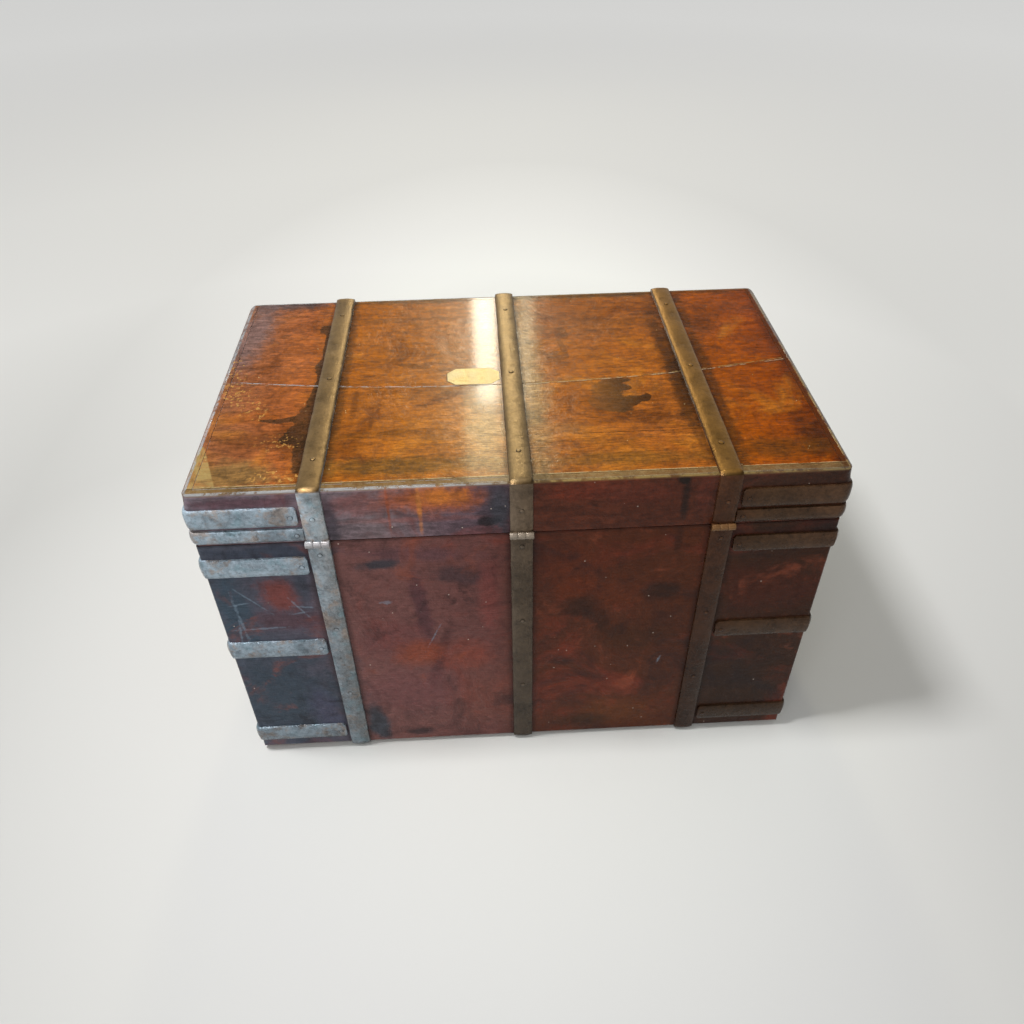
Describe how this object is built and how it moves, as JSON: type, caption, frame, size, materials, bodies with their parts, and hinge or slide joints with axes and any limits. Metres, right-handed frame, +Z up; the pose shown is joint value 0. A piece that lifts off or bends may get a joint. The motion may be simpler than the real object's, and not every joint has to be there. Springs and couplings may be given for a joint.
{
  "type": "iron-bound trunk",
  "caption": "Wooden storage trunk bound with half-oval iron straps and end bands, with a strap-hinged lid, drop handles, mortise locks, swinging keyhole covers and slotted lid stays.",
  "frame": {"origin": "on the floor under the middle of the wooden case, at the crown of the middle strap under the bottom", "axes": "+Z up, +X to the right along the front, -Y out of the front, where the locks are; the hinges are on the back at +Y"},
  "size_m": [0.944, 0.5582, 0.5772],
  "materials": {
    "case_wood": "dark oxblood stain under old glossy varnish, mottled with dark clouds",
    "lid_wood": "warm orange-brown mahogany under glossy lacquer, with dark stains",
    "strap_iron": "wrought iron with a bronze-brown patina, worn bright on the crowns",
    "handle_iron": "forged black iron, worn where the hand holds it",
    "lock_steel": "plain mild steel, slightly tarnished",
    "brass_plate": "old brass, dulled to brown with lighter edges"
  },
  "bodies": {
    "box": {"front_board": "case_wood", "back_board": "case_wood", "bottom_board_front": "case_wood", "bottom_board_back": "case_wood", "end_board_left": "case_wood", "end_board_right": "case_wood", "box_strap_left": "strap_iron", "box_strap_middle": "strap_iron", "box_strap_right": "strap_iron", "hinge_pins": "strap_iron", "top_band_left": "strap_iron", "top_band_right": "strap_iron", "mid_band_left": "strap_iron", "mid_band_right": "strap_iron", "low_band_left": "strap_iron", "low_band_right": "strap_iron", "box_nails": "strap_iron", "handle_nails": "strap_iron", "handle_plate_left": "handle_iron", "handle_plate_right": "handle_iron", "lock_case_left": "lock_steel", "lock_case_right": "lock_steel", "stay_studs": "lock_steel", "keyhole_plates": "brass_plate"},
    "lid": {"lid_front_rail": "lid_wood", "lid_back_rail": "lid_wood", "lid_end_rail_left": "lid_wood", "lid_end_rail_right": "lid_wood", "lid_top_board_front": "lid_wood", "lid_top_board_back": "lid_wood", "plaque": "brass_plate", "lid_strap_left": "strap_iron", "lid_strap_middle": "strap_iron", "lid_strap_right": "strap_iron", "lid_band_left": "strap_iron", "lid_band_right": "strap_iron", "lip_band_left": "strap_iron", "lip_band_right": "strap_iron", "lid_nails": "strap_iron", "link_plate_left": "lock_steel", "link_plate_right": "lock_steel", "stay_brackets": "lock_steel"},
    "stay_left": {"stay_arm_left": "lock_steel"},
    "handle_left": {"handle_left": "handle_iron"},
    "bolt_left": {"lock_bolt_left": "lock_steel"},
    "cover_left": {"keyhole_cover_left": "brass_plate"},
    "stay_right": {"stay_arm_right": "lock_steel"},
    "handle_right": {"handle_right": "handle_iron"},
    "bolt_right": {"lock_bolt_right": "lock_steel"},
    "cover_right": {"keyhole_cover_right": "brass_plate"}
  },
  "joints": [
    {"name": "lid_hinge", "type": "hinge", "parent": "box", "child": "lid", "pos_m": [0, 0.2759, 0.4825], "axis": [-1, 0, 0], "range_deg": [0, 100]},
    {"name": "stay_swing_left", "type": "hinge", "parent": "lid", "child": "stay_left", "pos_m": [-0.4234, 0.12918, 0.51369], "axis": [-1, 0, 0], "range_deg": [-50, 0]},
    {"name": "stay_swing_right", "type": "hinge", "parent": "lid", "child": "stay_right", "pos_m": [0.4234, 0.12918, 0.51369], "axis": [-1, 0, 0], "range_deg": [-50, 0]},
    {"name": "handle_swing_left", "type": "hinge", "parent": "box", "child": "handle_left", "pos_m": [-0.4625, 0, 0.3975], "axis": [0, 1, 0], "range_deg": [0, 180]},
    {"name": "handle_swing_right", "type": "hinge", "parent": "box", "child": "handle_right", "pos_m": [0.4625, 0, 0.3975], "axis": [0, -1, 0], "range_deg": [0, 180]},
    {"name": "bolt_slide_left", "type": "slide", "parent": "box", "child": "bolt_left", "axis": [-1, 0, 0], "range_m": [0, 0.014]},
    {"name": "bolt_slide_right", "type": "slide", "parent": "box", "child": "bolt_right", "axis": [-1, 0, 0], "range_m": [0, 0.014]},
    {"name": "cover_swing_left", "type": "hinge", "parent": "box", "child": "cover_left", "pos_m": [-0.141, -0.2729, 0.4642], "axis": [0, 1, 0], "continuous": true},
    {"name": "cover_swing_right", "type": "hinge", "parent": "box", "child": "cover_right", "pos_m": [0.141, -0.2729, 0.4642], "axis": [0, 1, 0], "continuous": true}
  ],
  "couplings": [
    {"joint": "stay_swing_left", "follows": "lid_hinge", "ratio": -0.5},
    {"joint": "stay_swing_right", "follows": "lid_hinge", "ratio": -0.5}
  ]
}
